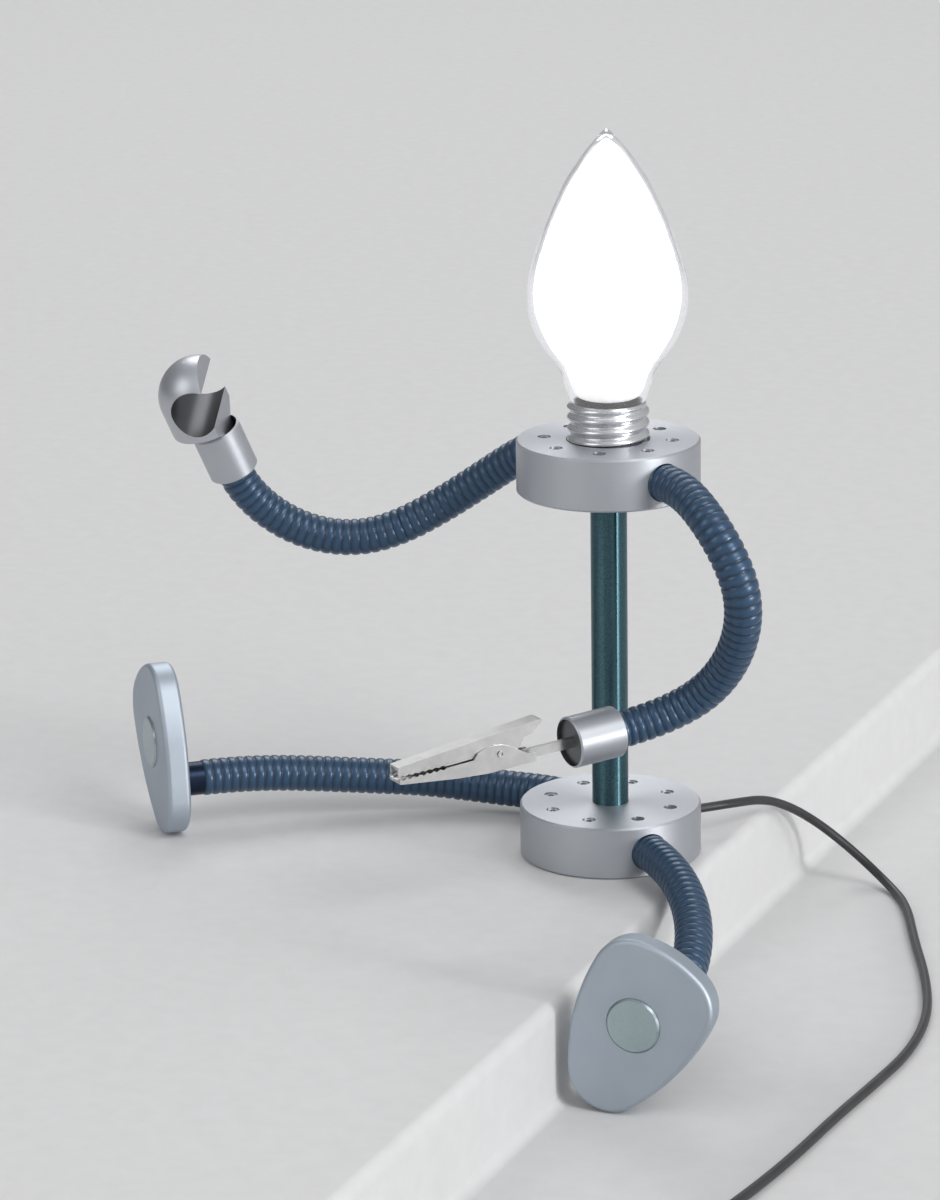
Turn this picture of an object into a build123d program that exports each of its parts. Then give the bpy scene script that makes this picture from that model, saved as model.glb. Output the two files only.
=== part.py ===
from build123d import *
import os
from math import cos, pi, radians, sin, sqrt, tan

# A desk figure that is a lamp. It sits on a ledge: +Z is up, the figure faces -Y, its left hand side is +X.
# The origin is the centre of the hip puck's underside, where the figure sits. All lengths are in mm.

# Pucks: the turned metal discs that are the hips and the shoulders
puck_diameter = 59.0
puck_height = 17.0
puck_edge = 0.6
pocket_diameter = 33.0
port_height = 8.2
port_clearance = 0.2
port_depth = 10.0
port_end_gap = 0.3
base_plate_side = 37.0
base_plate_corner = 4.0
base_plate_clearance = 0.1
hip_plate_thickness = 2.5
hip_web = 5.0
shoulder_plate_thickness = 3.5
shoulder_lip = 2.0
shoulder_twist = 11.5

# Threaded holes round the top of each puck, and the set screws in them
screw_circle_share = 0.70
screw_hole_count = 8
screw_hole_depth = 3.8
set_screw_diameter = 4.0
set_screw_sunk = 0.4
set_screw_key = 2.0
set_screw_key_depth = 1.2
screw_clearance = 0.15
neck_clamp_gap = 0.05
hip_empty_holes = (0, 1)
shoulder_empty_holes = (2, 7)

# Countersunk screws under each base plate
base_screw_count = 4
base_screw_turn = 45.0
base_screw_diameter = 3.0
base_screw_length = 7.0
base_screw_head = 5.4
base_screw_head_height = 1.5

# Post, and the nut that holds it in the hip puck
spine_diameter = 11.8
spine_bore = 7.0
spine_visible = 104.6
spigot_diameter = 9.8
spigot_clearance = 0.1
spigot_proud = 0.6
nut_across_flats = 14.0
nut_height = 3.0

# Lampholder in the shoulder puck
holder_gap = 0.1
holder_floor = 1.6
holder_shell_wall = 0.5
holder_shell_height = 6.6
holder_play = 0.25
strip_length = 22.0
strip_width = 6.0
strip_thickness = 0.5

# Bulb: screw cap, insulator, contact, glass, stem and filaments
cap_crest_diameter = 26.4
cap_root_diameter = 24.0
cap_wall = 1.0
cap_height = 19.4
cap_visible = 12.3
cap_rim = 0.7
thread_pitch = 3.629
thread_count = 5
ridge_share = 0.78
insulator_diameter = 21.0
insulator_tip_diameter = 13.0
insulator_height = 3.0
contact_diameter = 9.0
contact_gap = 0.1
bulb_diameter = 51.4
bulb_height = 87.8
bulb_wall = 1.1
bulb_tip_wall = 2.4
stem_diameter = 6.0
stem_height = 19.0
stem_disc_height = 1.2
stem_head_diameter = 12.0
filament_diameter = 1.8
filament_height = 33.0
filament_count = 4

# Bendable necks: a ribbed sleeve with a bore
neck_diameter = 12.0
neck_bore = 8.0
neck_groove = 0.5
neck_shoulder = 0.12
neck_reach = 127.0
rib_pitch = 3.0
root_ribs = 8
end_ribs = 8
neck_insert = 7.6

# Wrist collars and the screws in them
collar_diameter = 16.4
collar_length = 17.0
collar_cup_diameter = 15.0
collar_cup_depth = 7.0
collar_web = 2.0
collar_edge = 0.5
wrist_screw_diameter = 3.0
wrist_screw_head = 5.4
wrist_screw_head_height = 2.0
wrist_screw_gap = 0.1
grip_screw_bite = 3.6
clip_screw_bite = 2.6

# Grip of the right hand: a short rod with a domed end and a spigot, bored across and sliced open
grip_diameter = 26.6
grip_foot_diameter = 15.8
grip_flare = 3.2
grip_dome_height = 13.0
grip_seat_gap = 0.25
grip_spigot_length = 3.0
grip_spigot_clearance = 0.08
grip_bore = 15.2
grip_slice = 4.7

# Clip of the left hand
clip_length = 50.0
clip_depth = 12.8
clip_width = 7.0
clip_sheet = 0.7
clip_play = 0.12
clip_axis_drop = 3.5
clip_reach = 26.4
clip_pin_diameter = 2.2
clip_pin_proud = 0.5
clip_pin_dimple = 1.2
clip_pin_dimple_depth = 0.4
clip_pin_play = 0.06
clip_spring_diameter = 3.4
clip_jaw_gap = 0.3
clip_tooth_depth = 0.5
clip_tooth_count = 7
tang_height = 3.2
tang_thickness = 1.4
tang_insert = 2.6
tang_lap = 3.0
tang_clearance = 0.05
clip_plug_length = 5.6
clip_plug_play = 0.06

# Feet
foot_length = 56.8
foot_width = 40.2
foot_thickness = 8.0
foot_corner = 13.0
foot_edge = 1.6
magnet_diameter = 17.0
magnet_thickness = 4.2
magnet_proud = 0.7
magnet_bevel = 0.6
magnet_clearance = 0.1
ankle_offset = 14.0
ferrule_diameter = 11.2
ferrule_length = 7.0
ferrule_nose_length = 5.0
ferrule_nose_clearance = 0.25
ferrule_spigot_diameter = 9.8
ferrule_spigot_length = 4.2
ferrule_play = 0.06
ferrule_gap = 0.2

# Cord, grommet, terminal block and wires
cord_diameter = 3.0
cord_height = 9.5
grommet_diameter = 5.0
grommet_flange_diameter = 7.0
grommet_flange = 1.2
grommet_clearance = 0.05
block_width = 12.0
block_depth = 5.8
block_height = 8.5
block_back = 14.8
wire_diameter = 1.6
wire_spread = 3.4
wire_bend = 3.0
wire_height = 6.0

# Coil of the spare cord, its tie, and the plug on the far end
floor_height = -32.3
coil_center = (258.0, -80.0)
coil_entry_angle = 225.0
coil_outer_radius = 23.5
coil_step = 3.5
coil_turns_in = 4
coil_turns_out = 3.553
coil_lead = 21.0
coil_tail = 18.0
tie_width = 8.0
tie_thickness = 0.6
tie_clearance = 0.35
tie_angle = 115.0
plug_relief_length = 12.0
plug_relief_diameter = 6.0
plug_body_length = 22.0
plug_body_diameter = 11.5
plug_edge = 1.2
plug_barrel_length = 9.5
plug_barrel_diameter = 5.5
plug_barrel_wall = 0.5
plug_insulator_bore = 2.1
plug_insulator_short = 0.5
plug_relief_wall = 0.6
plug_seat = 6.0
tie_corner = 0.5

# One overrun serves all cuts
overrun = 1.0

# Steps of the coil: turns between two of its arcs, half a turn to climb, a small slice and a probe length
coil_mark_turns = 0.25
half_turn = 0.5
coil_slice = 0.0001
coil_probe = 1.5
cord_ease_share = 0.45

# Places of the necks, chosen by hand: points after the port, as shares of the reach, (left, back, up).
# The last one is where the neck meets its wrist or ankle.
limb_shares = {
    "right_arm": [(-0.15, -0.09, -0.08), (-0.24, -0.23, -0.19), (-0.31, -0.40, -0.26),
                  (-0.375, -0.58, -0.22), (-0.405, -0.72, -0.068)],
    "left_arm": [(0.19, 0.02, -0.05), (0.29, 0.06, -0.20), (0.23, 0.08, -0.38),
                 (0.12, 0.02, -0.53), (0.062, -0.168, -0.602)],
    "right_leg": [(-0.17, -0.11, 0.00), (-0.27, -0.28, 0.02), (-0.34, -0.48, 0.04),
                  (-0.39, -0.68, 0.06), (-0.41, -0.88, 0.07)],
    "left_leg": [(0.205, -0.015, -0.02), (0.365, -0.06, -0.065), (0.505, -0.145, -0.125),
                 (0.63, -0.28, -0.18), (0.74, -0.41, -0.186)],
}
# The direction of each neck at its wrist or ankle, and the steady direction that its ribs keep
limb_end_shares = {
    "right_arm": (0.12, -0.42, 0.90),
    "left_arm": (0.09, -0.99, -0.065),
    "right_leg": (-0.10, -0.995, 0.00),
    "left_leg": (0.68, -0.73, 0.00),
}
limb_steady_shares = {
    "right_arm": (-0.92, 0.40, 0.00),
    "left_arm": (-0.40, 0.92, 0.00),
    "right_leg": (0.00, 0.00, 1.00),
    "left_leg": (0.00, 0.00, 1.00),
}
# The side that the grip opens to, the side of the clip's thumb tab, and how far each foot is turned
grip_open_shares = (0.56, 0.77, 0.30)
clip_up_shares = (0.0, 0.0, 1.0)
foot_turns = {"right": -60.0, "left": -118.0}

# The four circles of a rib, as shares of the pitch, and their depths
rib_place_shares = (0.0, 0.2, 0.5, 0.8)
rib_depths = (neck_groove, neck_shoulder, 0, neck_shoulder)

# Outline of the glass: radius as a share of half the diameter, height as a share of the height
glass_shares = [(0.47, 0.0), (0.53, 0.054), (0.60, 0.115), (0.74, 0.178), (0.89, 0.248), (0.98, 0.33),
                (1.0, 0.39), (0.975, 0.465), (0.90, 0.54), (0.79, 0.635), (0.665, 0.72), (0.51, 0.81),
                (0.345, 0.882), (0.15, 0.955)]

# Outline of a foot: corners and the middles of its bowed sides, as shares of the length and half the width
foot_tip_shares = (0.69, 0.0)
foot_side_shares = (0.168, 0.874)
foot_heel_shares = (-0.362, 0.947)
foot_back_shares = (-0.452, 0.0)

# Side views of the clip's jaws from the pivot, as shares of the length and of the depth
teeth_from_share = 0.38
jaw_tip_share = 0.71
jaw_heel_share = -0.25
lower_jaw_shares = [(0.19, 0.0), (0.16, 0.14), (0.12, 0.20), (0.075, 0.235), (0.03, 0.24), (-0.02, 0.205),
                    (-0.07, 0.125), (-0.12, 0.02), (-0.165, -0.09), (-0.20, -0.17), (jaw_heel_share, -0.19),
                    (jaw_heel_share, -0.42), (0.10, -0.42), (0.31, -0.35), (jaw_tip_share, -0.14)]
upper_jaw_shares = [(jaw_tip_share, 0.27), (-0.30, 0.61), (-0.314, 0.59), (-0.31, 0.53), (-0.24, 0.30),
                    (-0.18, 0.25), (-0.145, 0.02), (-0.06, -0.15), (0.0, -0.17), (0.10, -0.12), (0.19, 0.03)]

# Route of the free cord, after the grommet: down to the lower floor and along it to the coil
cord_route = [
    (0, 45, 9.5),
    (-9, 61, 6),
    (-17, 75.5, -1.5),
    (-21.5, 89, -11),
    (-19, 101, -22),
    (-7, 107.5, -30.8),
    (14, 103, -30.8),
    (44, 89, -30.8),
    (77, 75, -30.8),
    (107, 59, -30.8),
    (131, 39, -30.8),
    (149, 17, -30.8),
    (167, -6, -30.8),
    (189, -32, -30.8),
    (208, -57, -30.6),
]

# Sizes worked out from the ones above
puck_radius = puck_diameter / 2
pocket_radius = pocket_diameter / 2
neck_radius = neck_diameter / 2
port_radius = neck_radius + port_clearance
screw_circle = puck_radius * screw_circle_share
base_screw_circle = (base_plate_side / 2 - base_plate_corner) * sqrt(2)
set_screw_radius = set_screw_diameter / 2
base_screw_radius = base_screw_diameter / 2
spigot_radius = spigot_diameter / 2
cord_radius = cord_diameter / 2
shoulder_bottom = puck_height + spine_visible
shoulder_top = shoulder_bottom + puck_height
cap_top = shoulder_top + cap_visible
cap_bottom = cap_top - cap_height
cap_crest = cap_crest_diameter / 2
cap_root = cap_root_diameter / 2
holder_bottom = shoulder_bottom + shoulder_plate_thickness
holder_top = shoulder_top - shoulder_lip - holder_gap
shell_outer = cap_crest + holder_play + holder_shell_wall
strip_top = holder_bottom + holder_floor + strip_thickness
up = Vector(0, 0, 1)

os.makedirs("parts", exist_ok=True)


def save(piece, name):
    """Label one finished piece and write it."""
    piece.part.label = name
    export_step(piece.part, f"parts/{name}.step")


def turned_plane(angle, height):
    """Level plane at a height on the post's axis, with its X axis turned about Z."""
    turn = radians(angle)
    return Plane(origin=(0, 0, height), x_dir=(cos(turn), sin(turn), 0), z_dir=(0, 0, 1))


def port_plane(puck, side):
    """Plane across a side port at the puck's rim, with its Z axis pointing out of the puck."""
    out = puck.x_dir * side
    return Plane(origin=puck.origin + up * port_height + out * puck_radius, x_dir=up, z_dir=out)


def square_plane(origin, out, across):
    """Plane with a given Z axis, and its X axis as near to another direction as it can be."""
    out = Vector(*out).normalized()
    across = Vector(*across)
    return Plane(origin=origin, x_dir=across - out * across.dot(out), z_dir=out)


hip_plane = turned_plane(0, 0)
shoulder_plane = turned_plane(shoulder_twist, shoulder_bottom)
cord_hole_plane = Plane(origin=(0, puck_radius, cord_height), x_dir=(1, 0, 0), z_dir=(0, 1, 0))


# Housings of the two pucks
def puck_housing(puck, plate_thickness, web, opening, has_cord):
    """Turned disc with a rebate for its base plate, a wiring pocket, two side ports and the top holes."""
    with BuildPart() as housing:
        with BuildSketch(puck):
            Circle(puck_radius)
        extrude(amount=puck_height)
        chamfer(housing.edges().filter_by(GeomType.CIRCLE), puck_edge)
        with BuildSketch(puck):
            RectangleRounded(base_plate_side + 2 * base_plate_clearance, base_plate_side + 2 * base_plate_clearance,
                             base_plate_corner + base_plate_clearance)
        extrude(amount=plate_thickness, mode=Mode.SUBTRACT)
        with BuildSketch(puck):
            Circle(pocket_radius)
        extrude(amount=puck_height - web, mode=Mode.SUBTRACT)
        with BuildSketch(puck):
            Circle(opening)
        extrude(amount=puck_height, mode=Mode.SUBTRACT)
        for side in (1, -1):
            with BuildSketch(port_plane(puck, side)):
                Circle(port_radius)
            extrude(amount=-port_depth, mode=Mode.SUBTRACT)
        with BuildSketch(puck.offset(puck_height)):
            with PolarLocations(screw_circle, screw_hole_count):
                Circle(set_screw_radius + screw_clearance)
        extrude(amount=-screw_hole_depth, mode=Mode.SUBTRACT)
        with BuildSketch(puck):
            with PolarLocations(base_screw_circle, base_screw_count, start_angle=base_screw_turn):
                Circle(base_screw_radius + screw_clearance)
        extrude(amount=base_screw_length + overrun, mode=Mode.SUBTRACT)
        if has_cord:
            with BuildSketch(cord_hole_plane):
                Circle(grommet_diameter / 2 + grommet_clearance)
            extrude(amount=pocket_radius - puck_radius - overrun, mode=Mode.SUBTRACT)
    return housing


hip_housing = puck_housing(hip_plane, hip_plate_thickness, hip_web, spigot_radius + spigot_clearance, True)
save(hip_housing, "hip_housing")
shoulder_opening = cap_crest + holder_play
shoulder_housing = puck_housing(shoulder_plane, shoulder_plate_thickness, shoulder_lip, shoulder_opening, False)
save(shoulder_housing, "shoulder_housing")


# Base plates and their screws
def base_plate(puck, thickness, has_post):
    """Square plate that closes a puck from below, with countersunk holes in its corners."""
    with BuildPart(puck) as plate:
        with BuildSketch(puck):
            RectangleRounded(base_plate_side, base_plate_side, base_plate_corner)
        extrude(amount=thickness)
        with PolarLocations(base_screw_circle, base_screw_count, start_angle=base_screw_turn):
            Cylinder(base_screw_radius + screw_clearance, thickness, mode=Mode.SUBTRACT,
                     align=(Align.CENTER, Align.CENTER, Align.MIN))
            Cone(base_screw_head / 2 + screw_clearance, base_screw_radius + screw_clearance, base_screw_head_height,
                 align=(Align.CENTER, Align.CENTER, Align.MIN), mode=Mode.SUBTRACT)
        if has_post:
            Cylinder(spigot_radius + spigot_clearance, thickness, mode=Mode.SUBTRACT,
                     align=(Align.CENTER, Align.CENTER, Align.MIN))
    return plate


def base_screws(puck):
    """Countersunk screws of one base plate."""
    with BuildPart(puck) as screws:
        with PolarLocations(base_screw_circle, base_screw_count, start_angle=base_screw_turn):
            Cone(base_screw_head / 2, base_screw_radius, base_screw_head_height,
                 align=(Align.CENTER, Align.CENTER, Align.MIN))
            Cylinder(base_screw_radius, base_screw_length, align=(Align.CENTER, Align.CENTER, Align.MIN))
    return screws


def set_screws(puck, empty):
    """Socket set screws in the holes that aren't empty. They end on top of the clamped necks."""
    top = puck_height - set_screw_sunk
    length = top - port_height - neck_radius - neck_clamp_gap
    key = set_screw_key / sqrt(3)
    with BuildPart() as screws:
        with BuildSketch(puck.offset(top)):
            for place in range(screw_hole_count):
                if place not in empty:
                    with PolarLocations(screw_circle, 1, start_angle=place * 360 / screw_hole_count):
                        Circle(set_screw_radius)
        extrude(amount=-length)
        with BuildSketch(puck.offset(top)):
            with PolarLocations(screw_circle, screw_hole_count):
                RegularPolygon(key, 6)
        extrude(amount=-set_screw_key_depth, mode=Mode.SUBTRACT)
    return screws


hip_base_plate = base_plate(hip_plane, hip_plate_thickness, False)
save(hip_base_plate, "hip_base_plate")
hip_base_screws = base_screws(hip_plane)
save(hip_base_screws, "hip_base_screws")
hip_set_screws = set_screws(hip_plane, hip_empty_holes)
save(hip_set_screws, "hip_set_screws")

shoulder_base_plate = base_plate(shoulder_plane, shoulder_plate_thickness, True)
save(shoulder_base_plate, "shoulder_base_plate")
shoulder_base_screws = base_screws(shoulder_plane)
save(shoulder_base_screws, "shoulder_base_screws")
shoulder_set_screws = set_screws(shoulder_plane, shoulder_empty_holes)
save(shoulder_set_screws, "shoulder_set_screws")

# Post: a tube with a spigot at each end
lower_spigot = hip_web + nut_height + spigot_proud
upper_spigot = shoulder_plate_thickness - holder_gap
with BuildPart() as spine_tube:
    with BuildSketch(Plane.XY.offset(puck_height)):
        Circle(spine_diameter / 2)
    extrude(amount=spine_visible)
    with BuildSketch(Plane.XY.offset(puck_height - lower_spigot)):
        Circle(spigot_radius)
    extrude(amount=lower_spigot + spine_visible + upper_spigot)
    with BuildSketch(Plane.XY.offset(puck_height - lower_spigot)):
        Circle(spine_bore / 2)
    extrude(amount=lower_spigot + spine_visible + upper_spigot, mode=Mode.SUBTRACT)
save(spine_tube, "spine_tube")

with BuildPart() as spine_nut:
    with BuildSketch(Plane.XY.offset(puck_height - hip_web)):
        RegularPolygon(nut_across_flats / 2, 6, major_radius=False)
        Circle(spigot_radius + spigot_clearance, mode=Mode.SUBTRACT)
    extrude(amount=-nut_height)
save(spine_nut, "spine_nut")

# Lampholder: insulating cup, threaded shell and the strip under the bulb's contact
with BuildPart() as lampholder_body:
    with BuildSketch(Plane.XY.offset(holder_bottom)):
        Circle(pocket_radius - holder_gap)
    extrude(amount=holder_top - holder_bottom)
    with BuildSketch(Plane.XY.offset(holder_bottom + holder_floor)):
        Circle(shell_outer + holder_gap)
    extrude(amount=holder_top - holder_bottom, mode=Mode.SUBTRACT)
save(lampholder_body, "lampholder_body")

with BuildPart() as lampholder_shell:
    with BuildSketch(Plane.XY.offset(holder_top)):
        Circle(shell_outer)
        Circle(shell_outer - holder_shell_wall, mode=Mode.SUBTRACT)
    extrude(amount=-holder_shell_height)
save(lampholder_shell, "lampholder_shell")

with BuildPart() as lampholder_contact:
    with BuildSketch(shoulder_plane.offset(strip_top - shoulder_bottom)):
        RectangleRounded(strip_length, strip_width, strip_width / 4)
    extrude(amount=-strip_thickness)
save(lampholder_contact, "lampholder_contact")

# Bulb: screw cap with its rolled ridges
with BuildPart() as bulb_cap:
    with BuildSketch(Plane.XZ):
        with BuildLine():
            ridge_top = cap_top - cap_rim
            Polyline((cap_root - cap_wall, cap_top), (cap_root, cap_top), (cap_root, ridge_top))
            for ridge in range(thread_count):
                start = ridge_top - ridge * thread_pitch
                end = start - thread_pitch * ridge_share
                ThreePointArc((cap_root, start), (cap_crest, (start + end) / 2), (cap_root, end))
                last = ridge == thread_count - 1
                Line((cap_root, end), (cap_root, cap_bottom + cap_wall if last else start - thread_pitch))
            Polyline((cap_root, cap_bottom + cap_wall), (insulator_diameter / 2, cap_bottom),
                     (insulator_tip_diameter / 2, cap_bottom), (insulator_tip_diameter / 2, cap_bottom + cap_wall),
                     (insulator_diameter / 2 - cap_wall, cap_bottom + cap_wall),
                     (cap_root - cap_wall, cap_bottom + 2 * cap_wall), (cap_root - cap_wall, cap_top))
        make_face()
    revolve(axis=Axis.Z)
save(bulb_cap, "bulb_cap")

with BuildPart(Plane.XY.offset(cap_bottom)) as bulb_insulator:
    with Locations((0, 0, -insulator_height)):
        Cone(insulator_tip_diameter / 2, insulator_diameter / 2, insulator_height,
             align=(Align.CENTER, Align.CENTER, Align.MIN))
save(bulb_insulator, "bulb_insulator")

contact_top = cap_bottom - insulator_height
with BuildPart() as bulb_contact:
    with BuildSketch(Plane.XY.offset(contact_top)):
        Circle(contact_diameter / 2)
    extrude(amount=strip_top + contact_gap - contact_top)
save(bulb_contact, "bulb_contact")

# Bulb: glass, stem and filaments
bulb_radius = bulb_diameter / 2
glass_outer = [(r * bulb_radius, cap_top + z * bulb_height) for r, z in glass_shares]
glass_inner = [(x - bulb_wall, z) for x, z in glass_outer]
with BuildPart() as bulb_glass:
    with BuildSketch(Plane.XZ):
        with BuildLine():
            Spline(*glass_outer, (0, cap_top + bulb_height))
            Line((0, cap_top + bulb_height), (0, cap_top + bulb_height - bulb_tip_wall))
            Spline((0, cap_top + bulb_height - bulb_tip_wall), *reversed(glass_inner))
            Line(glass_inner[0], glass_outer[0])
        make_face()
    revolve(axis=Axis.Z)
save(bulb_glass, "bulb_glass")

with BuildPart() as bulb_stem:
    with BuildSketch(Plane.XY.offset(cap_top)):
        Circle(cap_root - cap_wall - holder_gap)
    extrude(amount=-stem_disc_height)
    with BuildSketch(Plane.XY.offset(cap_top)):
        Circle(stem_diameter / 2)
    extrude(amount=stem_height)
    with BuildSketch(Plane.XY.offset(cap_top + stem_height)):
        Circle(stem_head_diameter / 2)
    extrude(amount=-stem_disc_height)
save(bulb_stem, "bulb_stem")

with BuildPart() as bulb_filaments:
    with BuildSketch(Plane.XY.offset(cap_top + stem_height)):
        with PolarLocations(stem_head_diameter / 2 - filament_diameter, filament_count):
            Circle(filament_diameter / 2)
    extrude(amount=filament_height)
save(bulb_filaments, "bulb_filaments")


# Necks
class Neck:
    """Centre line of one bendable neck, from its port to its wrist or ankle."""

    def __init__(self, limb, port):
        self.limb = limb
        self.steady = Vector(*limb_steady_shares[limb])
        places = [port.origin + Vector(*share) * neck_reach for share in limb_shares[limb]]
        tangents = (port.z_dir, Vector(*limb_end_shares[limb]).normalized())
        with BuildLine() as line:
            Spline(port.origin, *places, tangents=tangents, tangent_scalars=(1, 1))
        self.line = line.edges()[0]
        self.ribs = round(self.line.length / rib_pitch)

    def plane(self, rib):
        """Plane square to the neck, a number of ribs from the port."""
        share = rib / self.ribs
        return square_plane(self.line.position_at(share), self.line.tangent_at(share), self.steady)

    def stretch(self, first, last, before, after):
        """Ribbed sleeve between two ribs, with plain ends that reach on by the given lengths."""
        plain_step = rib_pitch * rib_place_shares[1]
        sections = [(self.plane(rib + place), neck_radius - depth)
                    for rib in range(first, last) for place, depth in zip(rib_place_shares, rib_depths)]
        sections.append((self.plane(last), neck_radius - neck_groove))
        if before:
            start = self.plane(first)
            sections = [(start.offset(-before), neck_radius), (start.offset(-plain_step), neck_radius)] + sections
        if after:
            end = self.plane(last)
            sections += [(end.offset(plain_step), neck_radius), (end.offset(after), neck_radius)]
        bore = [self.plane(rib) for rib in range(first, last + 1)]
        bore = [bore[0].offset(-before - overrun)] + bore + [bore[-1].offset(after + overrun)]
        with BuildPart() as sleeve:
            for plane, radius in sections:
                with BuildSketch(plane):
                    Circle(radius)
            loft(ruled=True, clean=False)
            for plane in bore:
                with BuildSketch(plane):
                    Circle(neck_bore / 2)
            loft(ruled=True, clean=False, mode=Mode.SUBTRACT)
        return sleeve


necks = {
    "right_arm": Neck("right_arm", port_plane(shoulder_plane, -1)),
    "left_arm": Neck("left_arm", port_plane(shoulder_plane, 1)),
    "right_leg": Neck("right_leg", port_plane(hip_plane, -1)),
    "left_leg": Neck("left_leg", port_plane(hip_plane, 1)),
}
for limb, neck in necks.items():
    insert = neck_insert if limb.endswith("arm") else 0
    save(neck.stretch(0, root_ribs, port_depth - port_end_gap, 0), f"{limb}_neck_root")
    save(neck.stretch(root_ribs, neck.ribs - end_ribs, 0, 0), f"{limb}_neck_middle")
    save(neck.stretch(neck.ribs - end_ribs, neck.ribs, 0, insert), f"{limb}_neck_end")
    for mark, rib in (("root hinge", root_ribs), ("end hinge", neck.ribs - end_ribs), ("end", neck.ribs)):
        here = neck.plane(rib)
        print(limb, mark, "at", tuple(here.origin), "along", tuple(here.z_dir), "steady", tuple(here.x_dir))
    turns = [neck.plane(rib).z_dir.get_angle(neck.plane(rib + 1).z_dir) for rib in range(neck.ribs)]
    print(limb, "ribs", neck.ribs, "length", round(neck.line.length, 1),
          "least bend radius", round(rib_pitch / radians(max(turns)), 1), "after rib", turns.index(max(turns)))

# Wrists
collar_web_place = collar_length - collar_cup_depth - collar_web


def wrist_collar(plane):
    """Sleeve over the end of an arm, with a web across it and an open cup for the hand."""
    with BuildPart() as collar:
        with BuildSketch(plane):
            Circle(collar_diameter / 2)
        extrude(amount=collar_length)
        chamfer(collar.edges().filter_by(GeomType.CIRCLE), collar_edge)
        with BuildSketch(plane):
            Circle(port_radius)
        extrude(amount=collar_web_place, mode=Mode.SUBTRACT)
        with BuildSketch(plane):
            Circle(wrist_screw_diameter / 2 + screw_clearance)
        extrude(amount=collar_length, mode=Mode.SUBTRACT)
        with BuildSketch(plane.offset(collar_length)):
            Circle(collar_cup_diameter / 2)
        extrude(amount=-collar_cup_depth, mode=Mode.SUBTRACT)
    return collar


def wrist_screw(plane, tip):
    """Screw from inside the wrist, through the web, into the hand."""
    with BuildPart() as screw:
        with BuildSketch(plane.offset(collar_web_place - wrist_screw_gap)):
            Circle(wrist_screw_head / 2)
        extrude(amount=-wrist_screw_head_height)
        with BuildSketch(plane.offset(collar_web_place - wrist_screw_gap)):
            Circle(wrist_screw_diameter / 2)
        extrude(amount=tip - collar_web_place + wrist_screw_gap)
    return screw


# Right hand: a domed rod with a bore across it, sliced to a C
right_wrist = necks["right_arm"].plane(necks["right_arm"].ribs)
right_wrist = square_plane(right_wrist.origin, right_wrist.z_dir, grip_open_shares)
right_wrist_collar = wrist_collar(right_wrist)
save(right_wrist_collar, "right_wrist_collar")

grip_radius = grip_diameter / 2
grip_seat = collar_length + grip_seat_gap
grip_screw_tip = grip_seat + grip_screw_bite
grip_plane = right_wrist.offset(grip_seat)
dome_plane = grip_plane.offset(grip_dome_height)
bore_plane = Plane(origin=dome_plane.origin, x_dir=dome_plane.x_dir, z_dir=dome_plane.y_dir)
with BuildPart(grip_plane) as right_hand_grip:
    Cone(grip_foot_diameter / 2, grip_radius, grip_flare, align=(Align.CENTER, Align.CENTER, Align.MIN))
    with Locations((0, 0, grip_flare)):
        Cylinder(grip_radius, grip_dome_height - grip_flare, align=(Align.CENTER, Align.CENTER, Align.MIN))
    with Locations((0, 0, grip_dome_height)):
        Sphere(grip_radius)
    Cylinder(collar_cup_diameter / 2 - grip_spigot_clearance, grip_seat_gap + grip_spigot_length,
             align=(Align.CENTER, Align.CENTER, Align.MAX))
    with Locations((grip_slice, 0, grip_dome_height)):
        Box(grip_diameter, grip_diameter, 2 * grip_diameter, mode=Mode.SUBTRACT,
            align=(Align.MIN, Align.CENTER, Align.CENTER))
    with BuildSketch(bore_plane):
        Circle(grip_bore / 2)
    extrude(amount=grip_diameter, both=True, mode=Mode.SUBTRACT)
    with BuildSketch(right_wrist.offset(collar_web_place)):
        Circle(wrist_screw_diameter / 2 + grommet_clearance)
    extrude(amount=grip_screw_tip - collar_web_place, mode=Mode.SUBTRACT)
save(right_hand_grip, "right_hand_grip")
right_wrist_screw = wrist_screw(right_wrist, grip_screw_tip)
save(right_wrist_screw, "right_wrist_screw")

# Left hand: a sprung clip on a tang
left_wrist = necks["left_arm"].plane(necks["left_arm"].ribs)
left_wrist = square_plane(left_wrist.origin, left_wrist.z_dir, clip_up_shares)
left_wrist_collar = wrist_collar(left_wrist)
save(left_wrist_collar, "left_wrist_collar")

clip_pivot = left_wrist.origin + left_wrist.z_dir * (collar_length + clip_reach) + left_wrist.x_dir * clip_axis_drop
clip_plane = Plane(origin=clip_pivot, x_dir=left_wrist.z_dir, z_dir=left_wrist.z_dir.cross(left_wrist.x_dir))
clip_plug_start = collar_length - collar_cup_depth + wrist_screw_gap
tang_start = clip_plug_start + clip_plug_length - tang_insert
tang_back = tang_start - collar_length - clip_reach
tang_front = jaw_heel_share * clip_length + tang_lap


def teeth(edge, depth):
    """Points of a toothed jaw edge, from the root of the teeth to the tip."""
    step = (jaw_tip_share - teeth_from_share) * clip_length / clip_tooth_count
    points = []
    for tooth in range(clip_tooth_count):
        along = teeth_from_share * clip_length + tooth * step
        points += [(along, edge), (along + step / 2, edge + depth)]
    return points + [(jaw_tip_share * clip_length, edge)]


def jaw_outline(shares, edge, shift):
    """Corners of a jaw's side view, with its toothed edge, moved across by a shift."""
    body = [(a * clip_length, b * clip_depth) for a, b in shares]
    if edge > 0:
        toothed = teeth(edge, clip_tooth_depth)
    else:
        toothed = list(reversed(teeth(edge, -clip_tooth_depth)))
    return [(a, b + shift) for a, b in body + toothed]


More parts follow.
